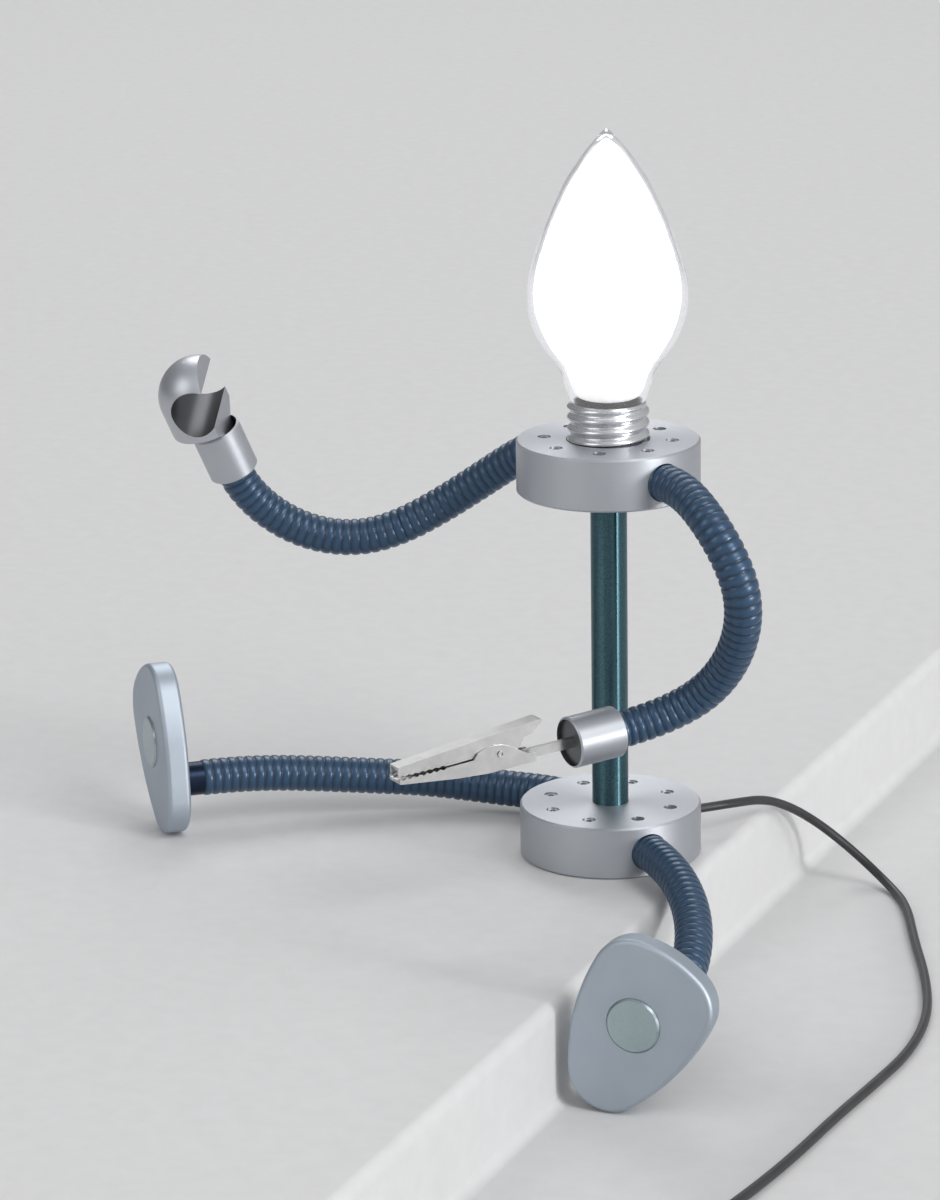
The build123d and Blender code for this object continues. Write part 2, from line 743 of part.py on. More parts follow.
ear_width = clip_width / 2
lever_width = ear_width - clip_sheet - clip_play
with BuildPart() as clip_lower_jaw:
    with BuildSketch(clip_plane):
        with BuildLine():
            Polyline(*jaw_outline(lower_jaw_shares, -clip_jaw_gap / 2, 0), close=True)
        make_face()
    extrude(amount=ear_width, both=True)
    with BuildSketch(clip_plane):
        with BuildLine():
            Polyline(*jaw_outline(lower_jaw_shares, -clip_jaw_gap / 2, clip_sheet), close=True)
        make_face()
    extrude(amount=ear_width - clip_sheet, both=True, mode=Mode.SUBTRACT)
    with BuildSketch(clip_plane):
        with Locations((tang_front, -clip_axis_drop)):
            Rectangle(tang_front - tang_back, tang_height, align=(Align.MAX, Align.CENTER))
    extrude(amount=tang_thickness / 2, both=True)
    with BuildSketch(clip_plane):
        Circle(clip_pin_diameter / 2 + grommet_clearance)
    extrude(amount=clip_width, both=True, mode=Mode.SUBTRACT)
save(clip_lower_jaw, "clip_lower_jaw")

with BuildPart() as clip_upper_jaw:
    with BuildSketch(clip_plane):
        with BuildLine():
            Polyline(*jaw_outline(upper_jaw_shares, clip_jaw_gap / 2, 0), close=True)
        make_face()
    extrude(amount=lever_width, both=True)
    with BuildSketch(clip_plane):
        with BuildLine():
            Polyline(*jaw_outline(upper_jaw_shares, clip_jaw_gap / 2, -clip_sheet), close=True)
        make_face()
    extrude(amount=lever_width - clip_sheet, both=True, mode=Mode.SUBTRACT)
    with BuildSketch(clip_plane):
        Circle(clip_pin_diameter / 2 + clip_pin_play)
    extrude(amount=clip_width, both=True, mode=Mode.SUBTRACT)
save(clip_upper_jaw, "clip_upper_jaw")

with BuildPart() as clip_pin:
    with BuildSketch(clip_plane):
        Circle(clip_pin_diameter / 2)
    extrude(amount=ear_width + clip_pin_proud, both=True)
    for side in (1, -1):
        with BuildSketch(clip_plane.offset(side * (ear_width + clip_pin_proud))):
            Circle(clip_pin_dimple / 2)
        extrude(amount=-side * clip_pin_dimple_depth, mode=Mode.SUBTRACT)
save(clip_pin, "clip_pin")

with BuildPart() as clip_spring:
    with BuildSketch(clip_plane):
        Circle(clip_spring_diameter / 2)
        Circle(clip_pin_diameter / 2 + clip_pin_play, mode=Mode.SUBTRACT)
    extrude(amount=lever_width - clip_sheet - clip_play, both=True)
save(clip_spring, "clip_spring")

clip_screw_tip = clip_plug_start + clip_screw_bite
with BuildPart() as clip_plug:
    with BuildSketch(left_wrist.offset(clip_plug_start)):
        Circle(collar_cup_diameter / 2 - clip_plug_play)
    extrude(amount=clip_plug_length)
    with BuildSketch(left_wrist.offset(clip_plug_start + clip_plug_length)):
        Rectangle(tang_height + 2 * tang_clearance, tang_thickness + 2 * tang_clearance)
    extrude(amount=-tang_insert - tang_clearance, mode=Mode.SUBTRACT)
    with BuildSketch(left_wrist.offset(clip_plug_start)):
        Circle(wrist_screw_diameter / 2 + tang_clearance)
    extrude(amount=clip_screw_bite + tang_clearance, mode=Mode.SUBTRACT)
save(clip_plug, "clip_plug")
left_wrist_screw = wrist_screw(left_wrist, clip_screw_tip)
save(left_wrist_screw, "left_wrist_screw")


# Feet
def foot_point(shares, side):
    """One point of a foot's outline, from the middle of its sole disc."""
    return (shares[0] * foot_length, shares[1] * side * foot_width / 2)


def foot_planes(side):
    """Plane at the end of a leg with X towards the foot's tip, and the same plane on the sole disc's axis."""
    neck = necks[f"{side}_leg"]
    ankle = neck.plane(neck.ribs)
    level = up.cross(ankle.z_dir)
    turn = radians(foot_turns[side])
    ankle = square_plane(ankle.origin, ankle.z_dir, level * cos(turn) + up * sin(turn))
    middle = Plane(origin=ankle.origin - ankle.x_dir * ankle_offset, x_dir=ankle.x_dir, z_dir=ankle.z_dir)
    return ankle, middle.offset(ferrule_length + ferrule_gap)


def ankle_ferrule(ankle):
    """Turned piece between a leg and its foot: a nose in the neck's bore and a spigot in the foot."""
    with BuildPart() as ferrule:
        with BuildSketch(ankle):
            Circle(ferrule_diameter / 2)
        extrude(amount=ferrule_length)
        with BuildSketch(ankle):
            Circle(neck_bore / 2 - ferrule_nose_clearance)
        extrude(amount=-ferrule_nose_length)
        with BuildSketch(ankle.offset(ferrule_length)):
            Circle(ferrule_spigot_diameter / 2)
        extrude(amount=ferrule_gap + ferrule_spigot_length)
    return ferrule


def foot_plate(middle):
    """Plate with three bowed sides, a socket for the ferrule and a recess for the sole disc."""
    with BuildPart() as plate:
        with BuildSketch(middle) as outline:
            with BuildLine():
                ThreePointArc(foot_point(foot_tip_shares, 1), foot_point(foot_side_shares, 1),
                              foot_point(foot_heel_shares, 1))
                ThreePointArc(foot_point(foot_heel_shares, 1), foot_point(foot_back_shares, 1),
                              foot_point(foot_heel_shares, -1))
                ThreePointArc(foot_point(foot_heel_shares, -1), foot_point(foot_side_shares, -1),
                              foot_point(foot_tip_shares, 1))
            make_face()
            fillet(outline.vertices(), foot_corner)
        extrude(amount=foot_thickness)
        ends = plate.faces().sort_by(Axis(middle.origin, middle.z_dir))
        fillet(ends[0].edges() + ends[-1].edges(), foot_edge)
        with BuildSketch(middle):
            with Locations((ankle_offset, 0)):
                Circle(ferrule_spigot_diameter / 2 + ferrule_play)
        extrude(amount=ferrule_spigot_length + ferrule_gap, mode=Mode.SUBTRACT)
        with BuildSketch(middle.offset(foot_thickness)):
            Circle(magnet_diameter / 2 + magnet_clearance)
        extrude(amount=magnet_proud - magnet_thickness, mode=Mode.SUBTRACT)
    return plate


def foot_magnet(middle):
    """Round disc in a sole, a little proud of it, with a bevelled rim."""
    with BuildPart() as magnet:
        with BuildSketch(middle.offset(foot_thickness + magnet_proud)):
            Circle(magnet_diameter / 2)
        extrude(amount=-magnet_thickness)
        rims = magnet.faces().sort_by(Axis(middle.origin, middle.z_dir))
        chamfer(rims[-1].edges(), magnet_bevel)
    return magnet


for side in ("right", "left"):
    ankle, middle = foot_planes(side)
    save(ankle_ferrule(ankle), f"{side}_ankle_ferrule")
    save(foot_plate(middle), f"{side}_foot_plate")
    save(foot_magnet(middle), f"{side}_foot_magnet")
    sole = middle.offset(foot_thickness + magnet_proud)
    print(side, "sole at", tuple(sole.origin), "facing", tuple(sole.z_dir))

# Wiring in the hip puck and up the post
with BuildPart() as cord_grommet:
    with BuildSketch(cord_hole_plane):
        Circle(grommet_diameter / 2)
    extrude(amount=pocket_radius - puck_radius)
    with BuildSketch(cord_hole_plane):
        Circle(grommet_flange_diameter / 2)
    extrude(amount=grommet_flange)
    with BuildSketch(cord_hole_plane):
        Circle(cord_radius + grommet_clearance)
    extrude(amount=puck_radius, both=True, mode=Mode.SUBTRACT)
save(cord_grommet, "cord_grommet")

block_face = block_back - block_depth
with BuildPart() as terminal_block:
    with BuildSketch(Plane.XY.offset(hip_plate_thickness)):
        with Locations((0, block_back)):
            Rectangle(block_width, block_depth, align=(Align.CENTER, Align.MAX))
    extrude(amount=block_height)
    with BuildSketch(Plane.XY.offset(hip_plate_thickness + block_height)):
        with Locations((-wire_spread, block_back - block_depth / 2), (wire_spread, block_back - block_depth / 2)):
            Circle(wire_diameter)
    extrude(amount=-wire_diameter, mode=Mode.SUBTRACT)
save(terminal_block, "terminal_block")

with BuildPart() as lamp_wires:
    for side in (1, -1):
        with BuildLine() as run:
            FilletPolyline((side * wire_spread / 2, block_face, wire_height), (side * wire_spread / 2, 0, wire_height),
                           (side * wire_spread / 2, 0, holder_bottom), radius=wire_bend)
        with BuildSketch(Plane(origin=run.wire() @ 0, z_dir=run.wire() % 0)):
            Circle(wire_diameter / 2)
        sweep(path=run.wire())
save(lamp_wires, "lamp_wires")

# Coil of the spare cord: in on the lower layer, up a layer in half a turn, and out on the upper one
coil_low = floor_height + tie_thickness + tie_clearance + cord_radius
coil_high = coil_low + coil_step
coil_core = coil_outer_radius - coil_turns_in * coil_step
coil_turns = coil_turns_in + half_turn + coil_turns_out


def coil_place(turns):
    """Point of the coil's centre line after a number of turns."""
    angle = radians(coil_entry_angle + 360 * turns)
    climb = min(max((turns - coil_turns_in) / half_turn, 0), 1)
    if turns <= coil_turns_in:
        reach = coil_outer_radius - coil_step * turns
    elif climb < 1:
        reach = coil_core - coil_step * half_turn * (climb - climb ** 2)
    else:
        reach = coil_core + coil_step * (turns - coil_turns_in - half_turn)
    rise = coil_step * climb ** 2 * (3 - 2 * climb)
    return Vector(coil_center[0] + reach * cos(angle), coil_center[1] + reach * sin(angle), coil_low + rise)


def coil_heading(turns):
    """Direction of the coil's centre line after a number of turns."""
    return (coil_place(turns + coil_slice) - coil_place(turns - coil_slice)).normalized()


def biarc(start, start_heading, end, end_heading):
    """Two arcs that leave one point and reach the next along given headings."""
    span = end - start
    both = start_heading + end_heading
    a = 2 * (1 - start_heading.dot(end_heading))
    b = 2 * span.dot(both)
    reach = (sqrt(b ** 2 + 4 * a * span.dot(span)) - b) / (2 * a)
    first = start + start_heading * reach
    second = end - end_heading * reach
    joint = (first + second) / 2
    TangentArc(start, joint, tangent=start_heading)
    TangentArc(joint, end, tangent=(second - first).normalized())


coil_marks = [mark * coil_mark_turns for mark in range(int(coil_turns / coil_mark_turns) + 1)] + [coil_turns]
coil_start = coil_place(0) - coil_heading(0) * cord_diameter
coil_end = coil_place(coil_turns) + coil_heading(coil_turns) * coil_tail
with BuildPart() as cord_coil:
    with BuildLine() as coil_line:
        Line(coil_start, coil_place(0))
        for mark, following in zip(coil_marks, coil_marks[1:]):
            biarc(coil_place(mark), coil_heading(mark), coil_place(following), coil_heading(following))
        Line(coil_place(coil_turns), coil_end)
    with BuildSketch(Plane(origin=coil_start, z_dir=coil_heading(0))):
        Circle(cord_radius)
    sweep(path=coil_line.wire())
save(cord_coil, "cord_coil")

coil_length = coil_line.wire().length
coil_count = int(coil_length / coil_probe)
probes = [coil_line.wire().position_at(probe / coil_count) for probe in range(coil_count + 1)]
least = min((probes[near] - probes[far]).length for near in range(coil_count)
            for far in range(near + int(pi * cord_diameter * 2 / coil_probe), coil_count + 1))
print("coil length", round(coil_length, 1), "least gap to itself", round(least - cord_diameter, 2),
      "volume over section times length",
      round(cord_coil.part.volume / (pi * cord_radius ** 2 * coil_length), 4))

# Free cord, from the terminal block through the grommet to the coil
cord_block = Vector(0, block_back, cord_height)
cord_mouth = Vector(0, puck_radius + grommet_flange + cord_diameter, cord_height)
coil_approach = coil_start - coil_heading(0) * coil_lead
route = [cord_mouth] + [Vector(*place) for place in cord_route] + [coil_approach, coil_start]
radii = []
for before, here, after in zip(route, route[1:], route[2:]):
    turn = radians((here - before).get_angle(after - here))
    radii.append(cord_ease_share * min((here - before).length, (after - here).length) / tan(turn / 2))
print("cord radii", [round(radius, 1) for radius in radii])
with BuildPart() as cord_free:
    with BuildLine() as cord_line:
        Line(cord_block, cord_mouth)
        FilletPolyline(*route, radius=radii)
    with BuildSketch(Plane(origin=cord_block, z_dir=(0, 1, 0))):
        Circle(cord_radius)
    sweep(path=cord_line.wire())
save(cord_free, "cord_free")
cord_length = cord_line.wire().length
print("cord length", round(cord_length, 1), "volume over section times length",
      round(cord_free.part.volume / (pi * cord_radius ** 2 * cord_length), 4))

# Tie round the coil
tie_turn = radians(tie_angle)
tie_inner = sqrt((coil_core - coil_step / 4 - cord_radius) ** 2 - (tie_width / 2) ** 2) - tie_clearance
tie_outer = coil_outer_radius + cord_radius + tie_clearance
tie_height = coil_step + cord_diameter + 2 * tie_clearance
tie_plane = Plane(origin=(*coil_center, coil_low + coil_step / 2), x_dir=(cos(tie_turn), sin(tie_turn), 0),
                  z_dir=(sin(tie_turn), -cos(tie_turn), 0))
with BuildPart() as cord_tie:
    with BuildSketch(tie_plane):
        with Locations(((tie_inner + tie_outer) / 2, 0)):
            RectangleRounded(tie_outer - tie_inner + 2 * tie_thickness, tie_height + 2 * tie_thickness, tie_corner)
            Rectangle(tie_outer - tie_inner, tie_height, mode=Mode.SUBTRACT)
    extrude(amount=tie_width / 2, both=True)
save(cord_tie, "cord_tie")

# Plug on the far end: a moulded body with its relief, a barrel and the insulator inside it
plug_plane = Plane(origin=coil_end, z_dir=coil_heading(coil_turns))
plug_radius = plug_body_diameter / 2
barrel_radius = plug_barrel_diameter / 2
with BuildPart() as plug_body:
    with BuildSketch(plug_plane):
        Circle(cord_radius + plug_relief_wall)
    with BuildSketch(plug_plane.offset(plug_relief_length)):
        Circle(plug_relief_diameter / 2)
    loft(ruled=True)
    with BuildSketch(plug_plane.offset(plug_relief_length)):
        Circle(plug_radius)
    extrude(amount=plug_body_length)
    rims = plug_body.faces().sort_by(Axis(plug_plane.origin, plug_plane.z_dir))
    chamfer(rims[-1].edges(), plug_edge)
    with BuildSketch(plug_plane.offset(plug_relief_length + plug_body_length)):
        Circle(barrel_radius)
    extrude(amount=-plug_seat, mode=Mode.SUBTRACT)
save(plug_body, "plug_body")

with BuildPart() as plug_barrel:
    with BuildSketch(plug_plane.offset(plug_relief_length + plug_body_length - plug_seat)):
        Circle(barrel_radius)
        Circle(barrel_radius - plug_barrel_wall, mode=Mode.SUBTRACT)
    extrude(amount=plug_seat + plug_barrel_length)
save(plug_barrel, "plug_barrel")

with BuildPart() as plug_insulator:
    with BuildSketch(plug_plane.offset(plug_relief_length + plug_body_length - plug_seat)):
        Circle(barrel_radius - plug_barrel_wall)
        Circle(plug_insulator_bore / 2, mode=Mode.SUBTRACT)
    extrude(amount=plug_seat + plug_barrel_length - plug_insulator_short)
save(plug_insulator, "plug_insulator")

print("clip pivot", tuple(clip_pivot), "pin along", tuple(clip_plane.z_dir))
print("grip centre", tuple(dome_plane.origin), "bore along", tuple(bore_plane.z_dir), "open to",
      tuple(dome_plane.x_dir))
print("plug end", tuple(plug_plane.offset(plug_relief_length + plug_body_length + plug_barrel_length).origin))
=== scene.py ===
"""Looks of the night light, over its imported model: a seated figure with a bulb for a head."""
import math

import bpy
import numpy as np
from mathutils import Matrix, Vector


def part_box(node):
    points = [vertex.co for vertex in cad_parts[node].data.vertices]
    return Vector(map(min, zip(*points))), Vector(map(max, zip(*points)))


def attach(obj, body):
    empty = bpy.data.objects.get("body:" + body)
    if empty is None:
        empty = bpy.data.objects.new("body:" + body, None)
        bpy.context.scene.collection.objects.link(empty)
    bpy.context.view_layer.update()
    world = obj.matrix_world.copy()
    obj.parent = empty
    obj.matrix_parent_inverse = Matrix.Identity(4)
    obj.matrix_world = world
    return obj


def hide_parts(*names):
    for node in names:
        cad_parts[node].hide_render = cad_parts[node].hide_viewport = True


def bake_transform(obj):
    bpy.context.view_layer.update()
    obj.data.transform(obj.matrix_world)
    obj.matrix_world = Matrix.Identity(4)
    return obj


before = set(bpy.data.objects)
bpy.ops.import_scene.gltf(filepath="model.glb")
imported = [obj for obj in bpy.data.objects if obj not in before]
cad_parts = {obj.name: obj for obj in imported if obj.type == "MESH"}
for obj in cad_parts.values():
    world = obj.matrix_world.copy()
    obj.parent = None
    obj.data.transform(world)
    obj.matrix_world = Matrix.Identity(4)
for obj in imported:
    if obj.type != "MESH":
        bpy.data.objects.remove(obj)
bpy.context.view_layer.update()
scene = bpy.context.scene
scene.view_settings.view_transform = "Standard"
mm = 0.001

# Camera, at the photograph's place and direction
azimuth = math.radians(66.5)
pitch = math.radians(15.839)
roll = math.radians(0.849)
camera_place = Vector((1.2652, -0.5990, 0.4826))

level = Vector((math.cos(azimuth), math.sin(azimuth), 0))
ahead = Vector((-math.sin(azimuth), math.cos(azimuth), 0))
up = Vector((0, 0, 1))
look = ahead * math.cos(pitch) - up * math.sin(pitch)
lift = ahead * math.sin(pitch) + up * math.cos(pitch)
camera_x = level * math.cos(roll) - lift * math.sin(roll)
camera_y = level * math.sin(roll) + lift * math.cos(roll)

camera_data = bpy.data.cameras.new("camera")
camera_data.lens = 135.5
camera_data.sensor_width = 36
camera = bpy.data.objects.new("camera", camera_data)
camera_turn = Matrix((camera_x, camera_y, -look)).transposed().to_4x4()
camera.matrix_world = Matrix.Translation(camera_place) @ camera_turn
scene.collection.objects.link(camera)
scene.camera = camera

# Cord: the points of its route and then the turns of its coil, in millimetres
cord_diameter = 3.0
cord_exit = (0, 30.2, 9.5)
cord_route = [
    (0, 33.7, 9.5),
    (0, 45, 9.5),
    (-9, 61, 6),
    (-17, 75.5, -1.5),
    (-21.5, 89, -11),
    (-19, 101, -22),
    (-7, 107.5, -30.8),
    (14, 103, -30.8),
    (44, 89, -30.8),
    (77, 75, -30.8),
    (107, 59, -30.8),
    (131, 39, -30.8),
    (149, 17, -30.8),
    (167, -6, -30.8),
    (189, -32, -30.8),
    (208, -57, -30.6),
]
coil_center = (258.0, -80.0)
coil_low = -29.85
coil_entry_angle = 225.0
coil_outer_radius = 23.5
coil_step = 3.5
coil_turns_in = 4
coil_climb_turns = 0.5
coil_turns = 8.053
coil_lead = 21.0
coil_tail = 18.0
coil_points = 16
coil_swell = 1.0194
coil_nudge = 0.0001


def coil_place(turns, swell=1.0):
    """Point of the coil after a number of turns, with its radius swelled by a share."""
    angle = math.radians(coil_entry_angle + 360 * turns)
    core = coil_outer_radius - coil_step * coil_turns_in
    climb = min(max((turns - coil_turns_in) / coil_climb_turns, 0), 1)
    if turns <= coil_turns_in:
        reach = coil_outer_radius - coil_step * turns
    elif climb < 1:
        reach = core - coil_step * coil_climb_turns * (climb - climb ** 2)
    else:
        reach = core + coil_step * (turns - coil_turns_in - coil_climb_turns)
    rise = coil_step * climb ** 2 * (3 - 2 * climb)
    return Vector((coil_center[0] + swell * reach * math.cos(angle),
                   coil_center[1] + swell * reach * math.sin(angle), coil_low + rise))


def coil_heading(turns):
    """Direction of the coil after a number of turns."""
    return (coil_place(turns + coil_nudge) - coil_place(turns - coil_nudge)).normalized()


coil_start = coil_place(0) - coil_heading(0) * cord_diameter
coil_marks = [(mark + 0.5) / coil_points for mark in range(int(coil_turns * coil_points))]
cord_points = [Vector(cord_exit)] + [Vector(place) for place in cord_route]
cord_points += [coil_start - coil_heading(0) * coil_lead, coil_start]
cord_points += [coil_place(mark, coil_swell) for mark in coil_marks]
cord_points += [coil_place(coil_turns), coil_place(coil_turns) + coil_heading(coil_turns) * coil_tail]

cord_curve = bpy.data.curves.new("cord", "CURVE")
cord_curve.dimensions = "3D"
cord_curve.resolution_u = 6
cord_curve.bevel_depth = cord_diameter / 2
cord_curve.bevel_resolution = 5
cord_curve.use_fill_caps = True
cord_spline = cord_curve.splines.new("NURBS")
cord_spline.points.add(len(cord_points) - 1)
for point, place in zip(cord_spline.points, cord_points):
    point.co = (*(place * mm), 1)
    point.radius = mm
cord_spline.order_u = 3
cord_spline.use_endpoint_u = True
cord = bpy.data.objects.new("cord", cord_curve)
scene.collection.objects.link(cord)
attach(cord, "torso")
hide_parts("cord_free", "cord_coil")


# Materials
class Finish:
    """A procedural material, built up one layer of detail at a time."""

    quarter_turn = 0.25
    edge_width = 0.08

    def __init__(self, name, color, metallic=0.0, roughness=0.5):
        self.material = bpy.data.materials.new(name)
        self.material.use_nodes = True
        self.tree = self.material.node_tree
        self.shader = self.tree.nodes["Principled BSDF"]
        self.set("Base Color", (*color, 1))
        self.set("Metallic", metallic)
        self.set("Roughness", roughness)
        self.place = self.add("ShaderNodeTexCoord").outputs["Object"]
        self.normal = None

    def set(self, socket, value):
        """Give one of the shader's sockets a constant value."""
        self.shader.inputs[socket].default_value = value

    def add(self, kind, *links, **settings):
        """Add a node, with links into its first sockets."""
        node = self.tree.nodes.new(kind)
        for name, value in settings.items():
            setattr(node, name, value)
        for index, source in enumerate(links):
            if isinstance(source, (int, float)):
                node.inputs[index].default_value = source
            else:
                self.tree.links.new(source, node.inputs[index])
        return node

    def math(self, operation, *links):
        """Result of one math node."""
        return self.add("ShaderNodeMath", *links, operation=operation).outputs[0]

    def stretched(self, x, y, z):
        """Object coordinates, scaled along each axis."""
        node = self.add("ShaderNodeMapping", self.place)
        node.inputs["Scale"].default_value = (x, y, z)
        return node.outputs[0]

    def turned(self):
        """Coordinates of a piece turned about the Z axis: its radius and its height."""
        parts = self.add("ShaderNodeSeparateXYZ", self.place).outputs
        squares = self.math("ADD", self.math("MULTIPLY", parts[0], parts[0]),
                            self.math("MULTIPLY", parts[1], parts[1]))
        return self.add("ShaderNodeCombineXYZ", self.math("SQRT", squares), parts[2]).outputs[0]

    def noise(self, scale, detail=3.0, place=None):
        """Grey noise; the scale is in features to the metre."""
        node = self.add("ShaderNodeTexNoise", place or self.place)
        node.inputs["Scale"].default_value = scale
        node.inputs["Detail"].default_value = detail
        return node.outputs[0]

    def spread(self, grey, low, high, start=0.3, stop=0.7):
        """The grey value, mapped from start and stop to low and high."""
        node = self.add("ShaderNodeMapRange", grey)
        for socket, value in zip(("From Min", "From Max", "To Min", "To Max"), (start, stop, low, high)):
            node.inputs[socket].default_value = value
        return node.outputs[0]

    def tint(self, grey, first, second, start=0.3, stop=0.7):
        """Colour the surface by the grey value, from a first colour to a second."""
        ramp = self.add("ShaderNodeValToRGB", self.spread(grey, 0.0, 1.0, start, stop))
        ramp.color_ramp.elements[0].color = (*first, 1)
        ramp.color_ramp.elements[1].color = (*second, 1)
        self.tree.links.new(ramp.outputs[0], self.shader.inputs["Base Color"])

    def vector(self, operation, *links):
        """Result of one vector math node."""
        node = self.add("ShaderNodeVectorMath", operation=operation)
        for index, source in enumerate(links):
            if isinstance(source, Vector):
                node.inputs[index].default_value = source
            else:
                self.tree.links.new(source, node.inputs[index])
        return node

    def around(self, middle, axis):
        """Direction round an axis through a middle, as long as the distance from that axis."""
        arm = self.vector("SUBTRACT", self.place, middle).outputs["Vector"]
        return self.vector("CROSS_PRODUCT", axis, arm).outputs["Vector"]

    def brush(self, around, amount):
        """Stretch the highlights across the fine lines of a turned surface."""
        lines = self.add("ShaderNodeVectorTransform", around, vector_type="VECTOR",
                         convert_from="OBJECT", convert_to="WORLD")
        self.tree.links.new(lines.outputs[0], self.shader.inputs["Tangent"])
        self.set("Anisotropic", amount)
        self.set("Anisotropic Rotation", self.quarter_turn)

    def paint_inner_shade(self, around, radius, share):
        """Paint shade into the colour, taking it down to a share of itself nearer the axis than a radius in
        millimetres.
        """
        distance = self.vector("LENGTH", around).outputs["Value"]
        color = self.shader.inputs["Base Color"].links[0].from_socket
        scaled = self.vector("SCALE", color)
        shade = self.spread(distance, share, 1.0, radius * mm, (radius + self.edge_width) * mm)
        self.tree.links.new(shade, scaled.inputs["Scale"])
        self.tree.links.new(scaled.outputs["Vector"], self.shader.inputs["Base Color"])

    def rough(self, grey, low, high):
        """Vary the roughness by the grey value."""
        self.tree.links.new(self.spread(grey, low, high), self.shader.inputs["Roughness"])

    def bump(self, grey, height, strength=1.0):
        """Raise the surface by the grey value, up to a height in millimetres."""
        node = self.add("ShaderNodeBump")
        node.inputs["Strength"].default_value = strength
        node.inputs["Distance"].default_value = height * mm
        self.tree.links.new(grey, node.inputs["Height"])
        if self.normal:
            self.tree.links.new(self.normal, node.inputs["Normal"])
        self.normal = node.outputs[0]
        self.tree.links.new(self.normal, self.shader.inputs["Normal"])


def turned_metal(name, dark, light, rough):
    """Satin metal turned about the Z axis: very fine rings on its flats and lines round its sides."""
    finish = Finish(name, light, metallic=1.0, roughness=rough[0])
    rings = finish.noise(scale=5200, detail=2.0, place=finish.turned())
    cloud = finish.noise(scale=40, detail=2.0)
    finish.tint(cloud, dark, light)
    finish.rough(rings, *rough)
    finish.bump(rings, height=0.002)
    finish.brush(finish.around(Vector(), up), amount=0.5)
    return finish


def blasted_metal(name, dark, light, rough, grain=5200, height=0.002):
    """Satin metal with a very fine grain and the faintest clouds from handling."""
    finish = Finish(name, light, metallic=1.0, roughness=rough[0])
    specks = finish.noise(scale=grain, detail=2.0)
    cloud = finish.noise(scale=45, detail=2.0)
    finish.tint(cloud, dark, light)
    finish.rough(specks, *rough)
    finish.bump(specks, height)
    return finish


def drawn_metal(name, dark, light, rough, stretch=(1, 1, 0.04)):
    """Bright metal with fine lines along one axis."""
    finish = Finish(name, light, metallic=1.0, roughness=rough[0])
    lines = finish.noise(scale=3600, detail=2.0, place=finish.stretched(*stretch))
    cloud = finish.noise(scale=180, detail=4.0)
    finish.tint(cloud, dark, light)
    finish.rough(lines, *rough)
    finish.bump(lines, height=0.006)
    return finish


def moulded(name, dark, light, rough, grain=1600, height=0.03):
    """Moulded plastic or rubber: a fine skin texture and slight unevenness."""
    finish = Finish(name, light, roughness=rough[0])
    skin = finish.noise(scale=grain, detail=3.0)
    cloud = finish.noise(scale=140, detail=4.0)
    finish.tint(cloud, dark, light)
    finish.rough(cloud, *rough)
    finish.bump(skin, height)
    return finish


aluminium = {"dark": (0.50, 0.52, 0.555), "light": (0.535, 0.555, 0.59)}
puck_metal = turned_metal("turned_aluminium", **aluminium, rough=(0.46, 0.52))
foot_metal = blasted_metal("foot_aluminium", dark=(0.43, 0.485, 0.545), light=(0.47, 0.525, 0.585),
                           rough=(0.50, 0.56))

# Collars: turned about their own axes, with painted shade inside their cups
collar_axes = {"right_wrist_collar": (0.12, -0.42, 0.90), "left_wrist_collar": (0.09, -0.99, -0.065)}
collar_cup_radius = 7.52
collar_metals = {}
for collar, direction in collar_axes.items():
    metal = blasted_metal(f"{collar}_aluminium", **aluminium, rough=(0.48, 0.54))
    collar_low, collar_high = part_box(collar)
    lines = metal.around((collar_low + collar_high) / 2, Vector(direction).normalized())
    metal.brush(lines, amount=0.5)
    # Painted shade: the colour inside the cup is darkened
    metal.paint_inner_shade(lines, collar_cup_radius, share=0.22)
    collar_metals[collar] = metal

# Grip: satin outside, with painted shade in its bore
grip_middle = Vector((-76.71, -110.02, 148.38)) * mm
grip_bore_axis = Vector((-0.820, 0.469, 0.328)).normalized()
grip_bore_radius = 7.62
grip_metal = blasted_metal("grip_aluminium", **aluminium, rough=(0.38, 0.44))
# Painted shade: the colour in the bore is darkened
grip_metal.paint_inner_shade(grip_metal.around(grip_middle, grip_bore_axis), grip_bore_radius, share=0.20)

# Other metals
cap_metal = drawn_metal("cap_aluminium", dark=(0.66, 0.67, 0.69), light=(0.76, 0.77, 0.79),
                        rough=(0.20, 0.30), stretch=(0.1, 0.1, 1))
steel_metal = drawn_metal("steel", dark=(0.50, 0.51, 0.53), light=(0.66, 0.67, 0.69), rough=(0.20, 0.34))
# Plates and screws under the pucks: steel, painted near-black as the shade beneath each puck
underside_shade_metal = blasted_metal("dark_steel", dark=(0.034, 0.036, 0.042), light=(0.056, 0.059, 0.068),
                           rough=(0.36, 0.50), grain=3200, height=0.01)
nickel_metal = drawn_metal("nickel", dark=(0.42, 0.418, 0.415), light=(0.51, 0.508, 0.505),
                           rough=(0.28, 0.36), stretch=(1, 0.05, 1))
dull_metal = blasted_metal("dull_steel", dark=(0.17, 0.172, 0.18), light=(0.22, 0.222, 0.23),
                           rough=(0.40, 0.48), height=0.003)
screw_metal = drawn_metal("bright_steel", dark=(0.70, 0.71, 0.73), light=(0.82, 0.83, 0.85),
                          rough=(0.16, 0.26))
magnet_metal = blasted_metal("magnet_plating", dark=(0.36, 0.44, 0.46), light=(0.40, 0.48, 0.50),
                             rough=(0.26, 0.32), height=0.001)
ferrule_metal = blasted_metal("ferrule_lacquer", dark=(0.014, 0.021, 0.040), light=(0.020, 0.030, 0.054),
                              rough=(0.28, 0.36))
brass_metal = drawn_metal("brass", dark=(0.62, 0.44, 0.16), light=(0.75, 0.55, 0.22), rough=(0.22, 0.36))

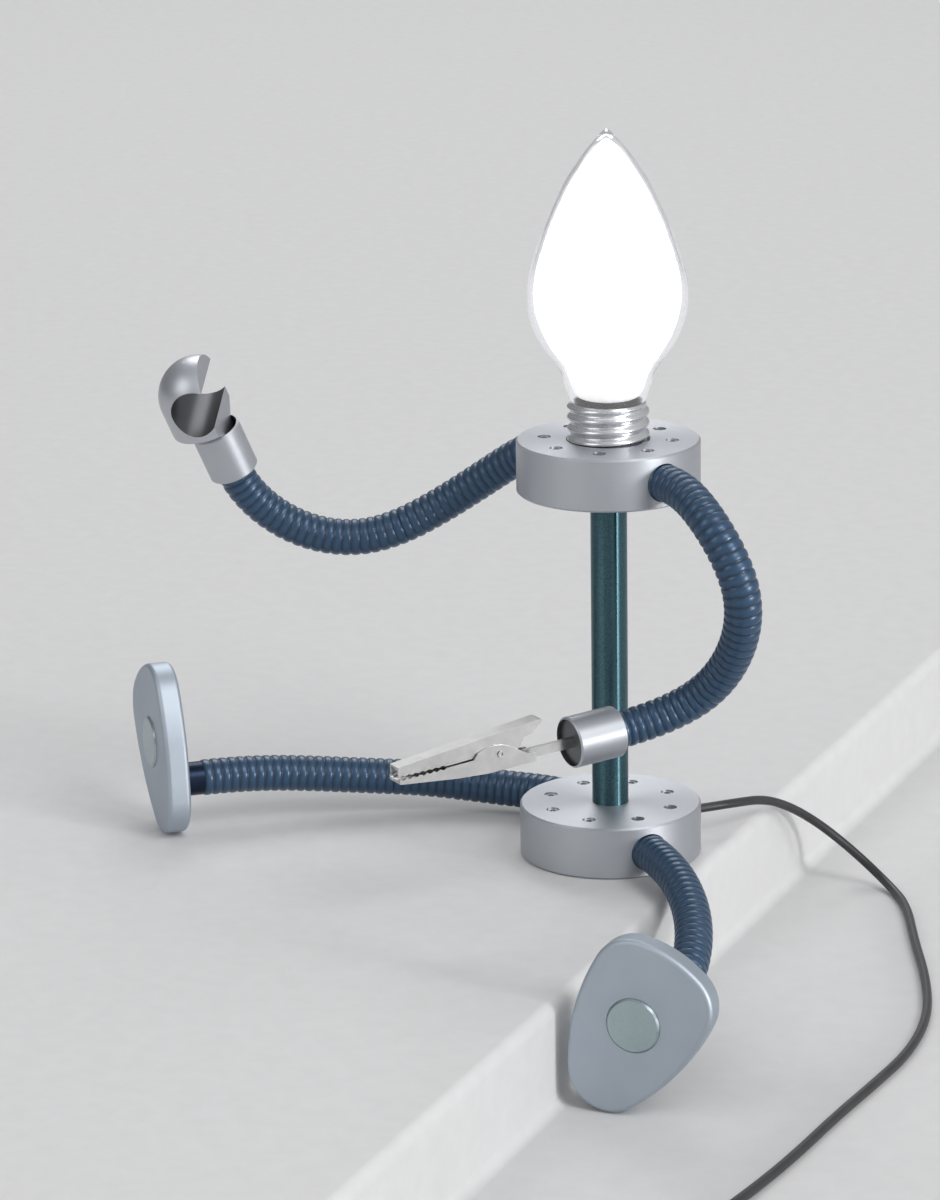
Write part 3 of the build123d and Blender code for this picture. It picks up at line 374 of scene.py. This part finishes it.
# Mouldings
ceramic_finish = moulded("ceramic", dark=(0.70, 0.68, 0.64), light=(0.80, 0.78, 0.74),
                         rough=(0.28, 0.40), grain=900, height=0.02)
black_plastic = moulded("black_plastic", dark=(0.012, 0.012, 0.013), light=(0.024, 0.024, 0.026),
                        rough=(0.40, 0.54))
cord_rubber = moulded("cord_rubber", dark=(0.018, 0.018, 0.020), light=(0.034, 0.034, 0.037),
                      rough=(0.38, 0.50), grain=1100, height=0.02)
black_glass = moulded("black_glass", dark=(0.010, 0.010, 0.012), light=(0.020, 0.020, 0.022),
                      rough=(0.10, 0.18), grain=600, height=0.01)

# Post: a flake paint, with its highlights drawn out along it
post_paint = Finish("post_paint", (0.070, 0.160, 0.195), metallic=1.0, roughness=0.34)
post_flakes = post_paint.noise(scale=2600, detail=2.0)
post_cloud = post_paint.noise(scale=60)
post_paint.tint(post_flakes, first=(0.044, 0.100, 0.124), second=(0.100, 0.190, 0.220))
post_paint.rough(post_cloud, low=0.32, high=0.36)
post_paint.bump(post_flakes, height=0.004)
post_paint.brush(post_paint.around(Vector(), up), amount=1.0)

# Necks: a dark blue sleeve, with painted shade in its grooves
neck_sleeve = Finish("neck_sleeve", (0.032, 0.085, 0.165), metallic=0.3, roughness=0.34)
neck_depth = neck_sleeve.add("ShaderNodeAttribute", attribute_name="depth").outputs["Fac"]
neck_cloud = neck_sleeve.noise(scale=150, detail=4.0)
neck_grain = neck_sleeve.noise(scale=2600)
neck_groove_shade_and_tone = neck_sleeve.math("ADD", neck_depth, neck_sleeve.spread(neck_cloud, low=-0.06, high=0.06))
# Painted shade: crest colour to groove colour by depth; the cloud adds random tone
neck_crest_color = (0.026, 0.070, 0.135)
neck_groove_shade_color = (0.013, 0.036, 0.074)
neck_sleeve.tint(neck_groove_shade_and_tone, neck_crest_color, neck_groove_shade_color, start=0.0, stop=1.0)
neck_sleeve.rough(neck_cloud, low=0.30, high=0.40)
neck_sleeve.bump(neck_grain, height=0.008)
neck_sleeve.set("Coat Weight", 0.25)
neck_sleeve.set("Coat Roughness", 0.28)

# Glass and filament
bulb_glass = Finish("bulb_glass", (0.94, 0.95, 0.98), roughness=0.02)
bulb_glass.set("Transmission Weight", 1.0)
bulb_glass.set("IOR", 1.35)
bulb_glass.bump(bulb_glass.noise(scale=70, detail=2.0), height=0.15, strength=0.3)
bulb_glass.set("Emission Color", (1.0, 0.99, 0.97, 1))
bulb_glass.set("Emission Strength", 0.06)

stem_glass = Finish("stem_glass", (0.93, 0.95, 0.95), roughness=0.05)
stem_glass.set("Transmission Weight", 0.9)
stem_glass.set("IOR", 1.5)
stem_glass.bump(stem_glass.noise(scale=260, detail=2.0), height=0.2, strength=0.4)

filament_finish = Finish("filament", (1.0, 0.84, 0.55), roughness=0.5)
filament_cloud = filament_finish.noise(scale=900, detail=2.0)
filament_finish.tint(filament_cloud, first=(0.95, 0.74, 0.40), second=(1.0, 0.88, 0.62))
filament_finish.set("Emission Color", (1.0, 0.86, 0.62, 1))
filament_finish.set("Emission Strength", 2.0)

finishes = {
    puck_metal: ["hip_housing", "shoulder_housing"],
    foot_metal: ["right_foot_plate", "left_foot_plate"],
    collar_metals["right_wrist_collar"]: ["right_wrist_collar"],
    collar_metals["left_wrist_collar"]: ["left_wrist_collar"],
    grip_metal: ["right_hand_grip"],
    magnet_metal: ["right_foot_magnet", "left_foot_magnet"],
    post_paint: ["spine_tube"],
    screw_metal: ["hip_set_screws", "shoulder_set_screws"],
    steel_metal: ["spine_nut", "right_wrist_screw", "left_wrist_screw"],
    underside_shade_metal: ["hip_base_plate", "shoulder_base_plate", "hip_base_screws", "shoulder_base_screws"],
    dull_metal: ["clip_plug"],
    ferrule_metal: ["right_ankle_ferrule", "left_ankle_ferrule"],
    nickel_metal: ["clip_lower_jaw", "clip_upper_jaw", "clip_pin", "clip_spring", "plug_barrel"],
    ceramic_finish: ["lampholder_body"],
    brass_metal: ["lampholder_shell", "lampholder_contact", "bulb_contact"],
    cap_metal: ["bulb_cap"],
    black_glass: ["bulb_insulator"],
    bulb_glass: ["bulb_glass"],
    stem_glass: ["bulb_stem"],
    filament_finish: ["bulb_filaments"],
    black_plastic: ["terminal_block", "cord_grommet", "plug_body", "plug_insulator", "cord_tie",
                    "lamp_wires"],
}
for finish, nodes in finishes.items():
    for node in nodes:
        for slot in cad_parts[node].material_slots:
            slot.material = finish.material
cord_curve.materials.append(cord_rubber.material)


# Meshes
quad_corners = 4


def piece(name, corners, faces, finish):
    """A mesh piece, in metres in the shared frame, smooth but for the flat faces over its ends."""
    mesh = bpy.data.meshes.new(name)
    mesh.from_pydata([tuple(corner) for corner in corners], [], faces)
    for face in mesh.polygons:
        face.use_smooth = len(face.vertices) <= quad_corners
    mesh.materials.append(finish.material)
    made = bpy.data.objects.new(name, mesh)
    scene.collection.objects.link(made)
    return made


def ring_faces(rings, sides):
    """Quads between rings of corners, and a face over each end."""
    faces = []
    for ring in range(rings - 1):
        for side in range(sides):
            beside = (side + 1) % sides
            faces.append((ring * sides + side, ring * sides + beside,
                          (ring + 1) * sides + beside, (ring + 1) * sides + side))
    faces.append(tuple(reversed(range(sides))))
    faces.append(tuple(range((rings - 1) * sides, rings * sides)))
    return faces


def tube_corners(places, headings, radii, sides):
    """Corners of round sections along a line, turned as little as the line allows."""
    across = headings[0].orthogonal()
    corners = []
    for place, heading, radius in zip(places, headings, radii):
        across = (across - heading * across.dot(heading)).normalized()
        over = heading.cross(across)
        for side in range(sides):
            turn = 2 * math.pi * side / sides
            corners.append(place + (across * math.cos(turn) + over * math.sin(turn)) * radius)
    return corners


def lathe_corners(outline, sides):
    """Corners of an outline of radii and heights, turned about the Z axis."""
    turns = [2 * math.pi * side / sides for side in range(sides)]
    return [Vector((radius * math.cos(turn), radius * math.sin(turn), height))
            for radius, height in outline for turn in turns]


# Necks: the same points as the solids, as shares of the reach from each port
neck_reach = 127.0
neck_radius = 6.0
neck_groove = 0.45
rib_pitch = 3.0
joint_ribs = 8
neck_sides = 40
neck_inside = 2.4
neck_lip = 0.1
line_samples = 4001
heading_step = 0.01
puck_radius = 29.5
shoulder_twist = math.radians(11.5)
shoulder_port = Vector((math.cos(shoulder_twist), math.sin(shoulder_twist), 0))
hip_port = Vector((1, 0, 0))
shoulder_port_height = 129.8
hip_port_height = 8.2
limb_shares = {
    "right_arm": [(-0.15, -0.09, -0.08), (-0.24, -0.23, -0.19), (-0.31, -0.40, -0.26),
                  (-0.375, -0.58, -0.22), (-0.405, -0.72, -0.068)],
    "left_arm": [(0.19, 0.02, -0.05), (0.29, 0.06, -0.20), (0.23, 0.08, -0.38),
                 (0.12, 0.02, -0.53), (0.062, -0.168, -0.602)],
    "right_leg": [(-0.17, -0.11, 0.00), (-0.27, -0.28, 0.02), (-0.34, -0.48, 0.04),
                  (-0.39, -0.68, 0.06), (-0.41, -0.88, 0.07)],
    "left_leg": [(0.205, -0.015, -0.02), (0.365, -0.06, -0.065), (0.505, -0.145, -0.125),
                 (0.63, -0.28, -0.18), (0.74, -0.41, -0.186)],
}
limb_end_shares = {
    "right_arm": (0.12, -0.42, 0.90),
    "left_arm": (0.09, -0.99, -0.065),
    "right_leg": (-0.10, -0.995, 0.00),
    "left_leg": (0.68, -0.73, 0.00),
}
limb_ports = {
    "right_arm": (-shoulder_port, shoulder_port_height),
    "left_arm": (shoulder_port, shoulder_port_height),
    "right_leg": (-hip_port, hip_port_height),
    "left_leg": (hip_port, hip_port_height),
}
limb_tips = {"right_arm": "right_wrist", "left_arm": "left_wrist",
             "right_leg": "right_ankle", "left_leg": "left_ankle"}

# One rib: places as shares of the pitch, and depths as shares of the groove
rib_outline = [(0.0, 1.0), (0.06, 0.86), (0.14, 0.46), (0.25, 0.16), (0.37, 0.04),
               (0.5, 0.0), (0.63, 0.04), (0.75, 0.16), (0.86, 0.46), (0.94, 0.86)]


class NeckLine:
    """Cubic spline through a neck's places, by chord length, with unit slopes at its ends."""

    def __init__(self, limb):
        out, height = limb_ports[limb]
        port = np.array(out * puck_radius + up * height)
        steps = [np.array(share) * neck_reach for share in limb_shares[limb]]
        self.places = np.vstack([port] + [port + step for step in steps])
        self.start = np.array(out)
        self.end = np.array(Vector(limb_end_shares[limb]).normalized())
        self.gaps = np.linalg.norm(np.diff(self.places, axis=0), axis=1)
        self.slopes = self.solve()
        self.knots = np.concatenate(([0], np.cumsum(self.gaps)))
        self.marks = np.linspace(0, self.knots[-1], line_samples)
        line = np.array([self.spline(mark) for mark in self.marks])
        spans = np.linalg.norm(np.diff(line, axis=0), axis=1)
        self.lengths = np.concatenate(([0], np.cumsum(spans)))
        self.ribs = round(self.lengths[-1] / rib_pitch)

    def solve(self):
        """Slopes at the places that make the bends of neighbouring spans meet."""
        count = len(self.places)
        system = np.eye(count)
        sides = np.zeros((count, 3))
        sides[0] = self.start
        sides[-1] = self.end
        for index in range(1, count - 1):
            before, after = self.gaps[index - 1:index + 1]
            system[index, index - 1:index + 2] = after, 2 * (before + after), before
            rise_before = (self.places[index] - self.places[index - 1]) / before
            rise_after = (self.places[index + 1] - self.places[index]) / after
            sides[index] = 3 * (after * rise_before + before * rise_after)
        return np.linalg.solve(system, sides)

    def spline(self, mark):
        """Point of the spline at a chord length."""
        span = min(max(np.searchsorted(self.knots, mark) - 1, 0), len(self.gaps) - 1)
        gap = self.gaps[span]
        share = (mark - self.knots[span]) / gap
        rest = 1 - share
        return (self.places[span] * rest ** 2 * (1 + 2 * share)
                + self.places[span + 1] * share ** 2 * (1 + 2 * rest)
                + gap * share * rest * (self.slopes[span] * rest - self.slopes[span + 1] * share))

    def at(self, rib):
        """Point a number of ribs along the neck, straight on beyond its ends."""
        length = rib / self.ribs * self.lengths[-1]
        if length < 0:
            return Vector(self.places[0] + self.start * length) * mm
        if length > self.lengths[-1]:
            return Vector(self.places[-1] + self.end * (length - self.lengths[-1])) * mm
        return Vector(self.spline(np.interp(length, self.lengths, self.marks))) * mm

    def heading(self, rib):
        """Direction of the neck a number of ribs along it."""
        return (self.at(rib + heading_step) - self.at(rib - heading_step)).normalized()


def neck_piece(name, line, stations):
    """Ribbed sleeve through stations of ribs and depths; the depths are kept for its painted groove shade.
    """
    places = [line.at(rib) for rib, depth in stations]
    headings = [line.heading(rib) for rib, depth in stations]
    radii = [(neck_radius - depth * neck_groove) * mm for rib, depth in stations]
    corners = tube_corners(places, headings, radii, neck_sides)
    made = piece(name, corners, ring_faces(len(stations), neck_sides), neck_sleeve)
    shade = made.data.attributes.new("depth", "FLOAT", "POINT")
    shade.data.foreach_set("value", [depth for rib, depth in stations for side in range(neck_sides)])
    return made


def ribs_between(first, last):
    """Stations of whole ribs, from groove to groove."""
    stations = [(rib + place, depth) for rib in range(first, last) for place, depth in rib_outline]
    return stations + [(last, 1.0)]


for limb, tip in limb_tips.items():
    line = NeckLine(limb)
    middle = line.ribs // 2
    head = [(-neck_inside, 0.0), (-neck_lip, 0.0)]
    tail = [(line.ribs + neck_lip, 0.0), (line.ribs + neck_inside, 0.0)] if limb.endswith("arm") else []
    upper = neck_piece(f"{limb}_neck_upper", line, head + ribs_between(0, middle))
    lower = neck_piece(f"{limb}_neck_lower", line, ribs_between(middle, line.ribs) + tail)
    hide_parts(f"{limb}_neck_root", f"{limb}_neck_middle")
    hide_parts(f"{limb}_neck_end")
    line.at(0)
    line.at(2 * joint_ribs)
    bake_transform(upper)
    line.at(line.ribs - 2 * joint_ribs)
    line.at(line.ribs)
    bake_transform(lower)

# Bulb cap: a real helical thread, with a plain rim above it
cap_top = 150.9
cap_bottom = 131.5
cap_crest = 13.2
cap_root = 12.0
thread_pitch = 3.629
cap_plain = 1.6
cap_sides = 96
cap_rows = 150
crest_power = 0.8
cap_corners = []
for row in range(cap_rows + 1):
    height = cap_bottom + (cap_top - cap_bottom) * row / cap_rows
    ease = min((height - cap_bottom) / cap_plain, (cap_top - height) / cap_plain, 1)
    for side in range(cap_sides):
        share = side / cap_sides
        wave = 0.5 - 0.5 * math.cos(2 * math.pi * (height / thread_pitch - share))
        radius = cap_root + (cap_crest - cap_root) * ease * wave ** crest_power
        turn = 2 * math.pi * share
        cap_corners.append(Vector((radius * math.cos(turn), radius * math.sin(turn), height)) * mm)
thread = piece("bulb_cap_thread", cap_corners, ring_faces(cap_rows + 1, cap_sides), cap_metal)
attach(thread, "bulb")
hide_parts("bulb_cap")

# Bulb: the glowing coat just inside the clear glass, up to a tip of its own
bulb_radius = 25.7
bulb_height = 87.8
coat_gap = 2.0
coat_lift = 0.3
coat_sides = 64
coat_glow_low = 0.152
coat_glow_high = 0.174
glass_shares = [(0.47, 0.0), (0.53, 0.054), (0.60, 0.115), (0.74, 0.178), (0.89, 0.248), (0.98, 0.33),
                (1.0, 0.39), (0.975, 0.465), (0.90, 0.54), (0.79, 0.635), (0.665, 0.72), (0.51, 0.81),
                (0.345, 0.882)]
coat_outline = [((radius * bulb_radius - coat_gap) * mm, (cap_top + coat_lift + height * bulb_height) * mm)
                for radius, height in glass_shares]
coat_tip = [(2.6, 0.945), (0.4, 0.963)]
coat_outline += [(radius * mm, (cap_top + height * bulb_height) * mm) for radius, height in coat_tip]
coat_finish = Finish("bulb_coat", (0.62, 0.62, 0.61), roughness=0.6)
coat_height = coat_finish.add("ShaderNodeSeparateXYZ", coat_finish.place).outputs[2]
coat_light = coat_finish.spread(coat_height, low=0.52, high=1.15, start=coat_glow_low, stop=coat_glow_high)
coat_cloud = coat_finish.spread(coat_finish.noise(scale=80), low=0.92, high=1.08)
coat_glow = coat_finish.math("MULTIPLY", coat_light, coat_cloud)
coat_finish.tree.links.new(coat_glow, coat_finish.shader.inputs["Emission Strength"])
coat_finish.set("Emission Color", (1.0, 0.975, 0.94, 1))
coat_corners = lathe_corners(coat_outline, coat_sides)
coat = piece("bulb_coat", coat_corners, ring_faces(len(coat_outline), coat_sides), coat_finish)
coat_smooth = coat.modifiers.new("smooth", "SUBSURF")
coat_smooth.levels = 2
coat_smooth.render_levels = 2
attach(coat, "bulb")

# Clip spring: a wound torsion spring on the pivot pin
spring_low, spring_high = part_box("clip_spring")
spring_middle = (spring_low + spring_high) / 2
spring_axis = Vector((0.9959, 0.0905, 0)).normalized()
spring_side = up.cross(spring_axis)
spring_width = 3.7 * mm
wire_radius = 0.2 * mm
spring_reach = 1.7 * mm
winding_radius = spring_reach - wire_radius
windings = 7
winding_steps = 24
wire_sides = 10
spring_steps = windings * winding_steps
spring_places = []
for step in range(spring_steps + 1):
    share = step / spring_steps
    turn = 2 * math.pi * windings * share
    spring_places.append(spring_middle + spring_axis * (share - 0.5) * (spring_width - 2 * wire_radius)
                         + (spring_side * math.cos(turn) + up * math.sin(turn)) * winding_radius)
spring_headings = [(after - before).normalized() for before, after in zip(spring_places, spring_places[1:])]
spring_headings.append(spring_headings[-1])
wire_radii = [wire_radius] * len(spring_places)
spring_corners = tube_corners(spring_places, spring_headings, wire_radii, wire_sides)
spring_faces = ring_faces(len(spring_places), wire_sides)
spring = piece("clip_spring_wound", spring_corners, spring_faces, steel_metal)
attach(spring, "left_hand")
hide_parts("clip_spring")

# Floor: two plain levels with a soft step between them, for the hips and right foot and for the left foot
step_out = Vector((0.726, 0.688, 0)).normalized()
step_along = Vector((0.688, -0.726, 0)).normalized()
step_reach = 0.035
step_drop = -0.0323
step_soft = 0.004
step_parts = 8
floor_reach = 9.0
floor_gap = 0.0001
floor_outline = [(-floor_reach, 0.0)]
for part in range(step_parts + 1):
    turn = math.radians(90 - part * 90 / step_parts)
    floor_outline.append((step_reach - step_soft + step_soft * math.cos(turn),
                          step_soft * (math.sin(turn) - 1)))
for part in range(step_parts + 1):
    turn = math.radians(180 + part * 90 / step_parts)
    floor_outline.append((step_reach + step_soft + step_soft * math.cos(turn),
                          step_drop + step_soft * (math.sin(turn) + 1)))
floor_outline.append((floor_reach, step_drop))
floor_corners = [step_out * out + step_along * along + up * (height - floor_gap)
                 for out, height in floor_outline for along in (-floor_reach, floor_reach)]
floor_faces = [(2 * row, 2 * row + 1, 2 * row + 3, 2 * row + 2) for row in range(len(floor_outline) - 1)]
floor_finish = moulded("floor", dark=(0.62, 0.62, 0.62), light=(0.65, 0.65, 0.65), rough=(0.60, 0.70),
                       grain=300, height=0.02)
floor_finish.set("Specular IOR Level", 0.15)
floor_mesh = bpy.data.meshes.new("floor")
floor_mesh.from_pydata([tuple(corner) for corner in floor_corners], [], floor_faces)
floor_mesh.shade_smooth()
floor_mesh.materials.append(floor_finish.material)
floor = bpy.data.objects.new("floor", floor_mesh)
scene.collection.objects.link(floor)

# Light: a soft key and a low side light from the right, a fill and a light from behind
target = Vector((0, 0, 0.10))


def softbox(name, place, width, height, power):
    """Area light that faces the figure."""
    light = bpy.data.lights.new(name, "AREA")
    light.shape = "RECTANGLE"
    light.size = width
    light.size_y = height
    light.energy = power
    made = bpy.data.objects.new(name, light)
    made.location = place
    made.rotation_euler = (target - Vector(place)).to_track_quat("-Z", "Y").to_euler()
    scene.collection.objects.link(made)


softbox("key", place=(2.65, 0.95, 2.75), width=1.8, height=1.8, power=46)
softbox("side", place=(2.57, 1.55, 0.40), width=0.5, height=0.6, power=34)
softbox("fill", place=(0.6, -2.9, 1.9), width=2.0, height=2.0, power=18)
softbox("back", place=(-2.2, 0.77, 2.42), width=1.8, height=1.8, power=30)

# World: a soft gradient, brightest towards the key light
world_bright_side = Vector((0.60, 0.50, 0.62)).normalized()
world_dark = (0.20, 0.20, 0.21, 1)
world_light = (0.85, 0.855, 0.87, 1)
world_strength = 0.75
world = bpy.data.worlds.new("studio")
scene.world = world
world.use_nodes = True
world_tree = world.node_tree
world_place = world_tree.nodes.new("ShaderNodeTexCoord")
world_facing = world_tree.nodes.new("ShaderNodeVectorMath")
world_facing.operation = "DOT_PRODUCT"
world_facing.inputs[1].default_value = world_bright_side
world_share = world_tree.nodes.new("ShaderNodeMapRange")
world_share.inputs["From Min"].default_value = -1
world_ramp = world_tree.nodes.new("ShaderNodeValToRGB")
world_ramp.color_ramp.elements[0].color = world_dark
world_ramp.color_ramp.elements[1].color = world_light
background = world_tree.nodes["Background"]
background.inputs["Strength"].default_value = world_strength
world_tree.links.new(world_place.outputs["Generated"], world_facing.inputs[0])
world_tree.links.new(world_facing.outputs["Value"], world_share.inputs["Value"])
world_tree.links.new(world_share.outputs[0], world_ramp.inputs[0])
world_tree.links.new(world_ramp.outputs[0], background.inputs["Color"])
